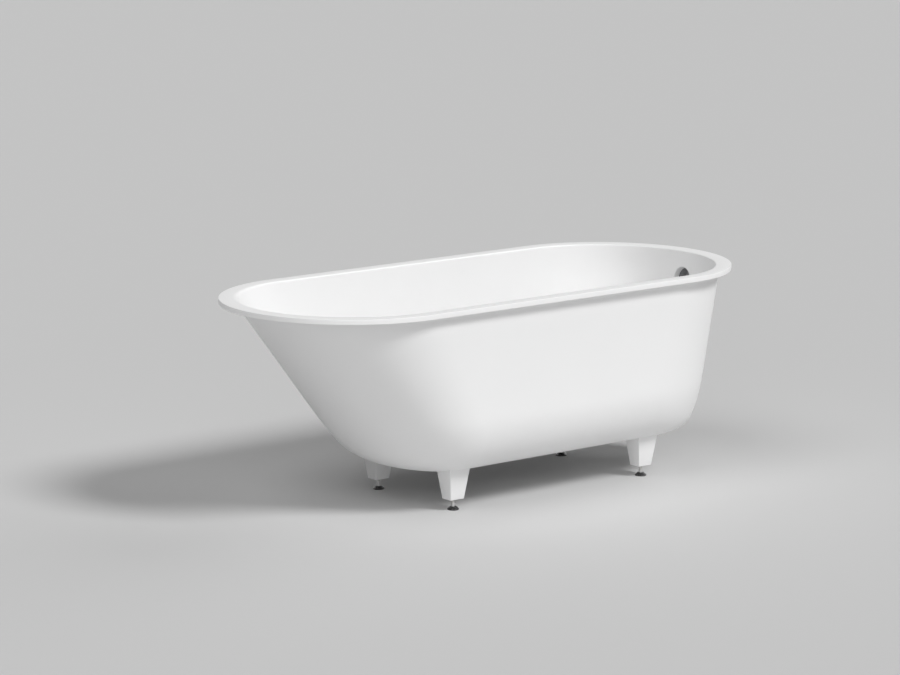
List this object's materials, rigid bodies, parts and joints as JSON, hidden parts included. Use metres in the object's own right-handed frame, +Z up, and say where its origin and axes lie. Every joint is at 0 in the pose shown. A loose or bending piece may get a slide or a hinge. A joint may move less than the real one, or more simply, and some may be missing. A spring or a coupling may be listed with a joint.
{
  "type": "freestanding bathtub",
  "caption": "Freestanding stone resin bathtub, flat overhanging rim, raked back, plain overflow hole, tapered legs on screw feet, push plug waste.",
  "frame": {"origin": "on the floor, under the middle of the rim's length and width", "axes": "+Z up, +X towards the foot end with the overflow, -X towards the raked head end, -Y towards the front that the picture shows"},
  "size_m": [1.7, 0.756, 0.62],
  "materials": {
    "stone_resin": "satin",
    "pad_plastic": "satin",
    "bright_steel": "satin",
    "brass": "satin",
    "chrome": "polished",
    "seal_rubber": "matt",
    "white_plastic": "gloss",
    "grey_plastic": "satin"
  },
  "bodies": {
    "tub": {"tub_shell": "stone_resin", "leg_front_left": "stone_resin", "leg_studs_front_left": "bright_steel", "tub_inserts_front_left": "brass", "leg_bush_front_left": "brass", "leg_rear_left": "stone_resin", "leg_studs_rear_left": "bright_steel", "tub_inserts_rear_left": "brass", "leg_bush_rear_left": "brass", "leg_front_right": "stone_resin", "leg_studs_front_right": "bright_steel", "tub_inserts_front_right": "brass", "leg_bush_front_right": "brass", "leg_rear_right": "stone_resin", "leg_studs_rear_right": "bright_steel", "tub_inserts_rear_right": "brass", "leg_bush_rear_right": "brass", "waste_flange": "chrome", "waste_upper_seal": "seal_rubber", "waste_lower_seal": "seal_rubber", "waste_tee": "white_plastic", "plug_guide": "bright_steel", "overflow_gasket": "seal_rubber", "overflow_elbow": "grey_plastic", "overflow_inserts": "brass", "overflow_screws": "bright_steel", "overflow_pipe_upper": "white_plastic", "overflow_bend": "white_plastic", "overflow_pipe_lower": "white_plastic", "overflow_nut_top": "white_plastic", "overflow_nut_bottom": "white_plastic"},
    "pad_front_left": {"foot_pad_front_left": "pad_plastic"},
    "spindle_front_left": {"foot_spindle_front_left": "bright_steel"},
    "pad_rear_left": {"foot_pad_rear_left": "pad_plastic"},
    "spindle_rear_left": {"foot_spindle_rear_left": "bright_steel"},
    "pad_front_right": {"foot_pad_front_right": "pad_plastic"},
    "spindle_front_right": {"foot_spindle_front_right": "bright_steel"},
    "pad_rear_right": {"foot_pad_rear_right": "pad_plastic"},
    "spindle_rear_right": {"foot_spindle_rear_right": "bright_steel"},
    "plug": {"plug_cap": "chrome", "plug_seal": "seal_rubber", "plug_stem": "bright_steel"}
  },
  "joints": [
    {"name": "foot_slide_front_left", "type": "slide", "parent": "tub", "child": "pad_front_left", "axis": [0, 0, 1], "range_m": [-0.015, 0.018]},
    {"name": "foot_turn_front_left", "type": "hinge", "parent": "pad_front_left", "child": "spindle_front_left", "pos_m": [-0.246, -0.172, 0.02], "axis": [0, 0, 1], "range_deg": [-3090, 3710]},
    {"name": "foot_slide_rear_left", "type": "slide", "parent": "tub", "child": "pad_rear_left", "axis": [0, 0, 1], "range_m": [-0.015, 0.018]},
    {"name": "foot_turn_rear_left", "type": "hinge", "parent": "pad_rear_left", "child": "spindle_rear_left", "pos_m": [-0.246, 0.172, 0.02], "axis": [0, 0, 1], "range_deg": [-3090, 3710]},
    {"name": "foot_slide_front_right", "type": "slide", "parent": "tub", "child": "pad_front_right", "axis": [0, 0, 1], "range_m": [-0.015, 0.018]},
    {"name": "foot_turn_front_right", "type": "hinge", "parent": "pad_front_right", "child": "spindle_front_right", "pos_m": [0.469, -0.18, 0.02], "axis": [0, 0, 1], "range_deg": [-3090, 3710]},
    {"name": "foot_slide_rear_right", "type": "slide", "parent": "tub", "child": "pad_rear_right", "axis": [0, 0, 1], "range_m": [-0.015, 0.018]},
    {"name": "foot_turn_rear_right", "type": "hinge", "parent": "pad_rear_right", "child": "spindle_rear_right", "pos_m": [0.469, 0.18, 0.02], "axis": [0, 0, 1], "range_deg": [-3090, 3710]},
    {"name": "plug_lift", "type": "slide", "parent": "tub", "child": "plug", "axis": [0, 0, 1], "range_m": [0, 0.009]}
  ],
  "couplings": [
    {"joint": "foot_turn_front_left", "follows": "foot_slide_front_left", "rad_per_m": 3590.4},
    {"joint": "foot_turn_rear_left", "follows": "foot_slide_rear_left", "rad_per_m": 3590.4},
    {"joint": "foot_turn_front_right", "follows": "foot_slide_front_right", "rad_per_m": 3590.4},
    {"joint": "foot_turn_rear_right", "follows": "foot_slide_rear_right", "rad_per_m": 3590.4}
  ]
}
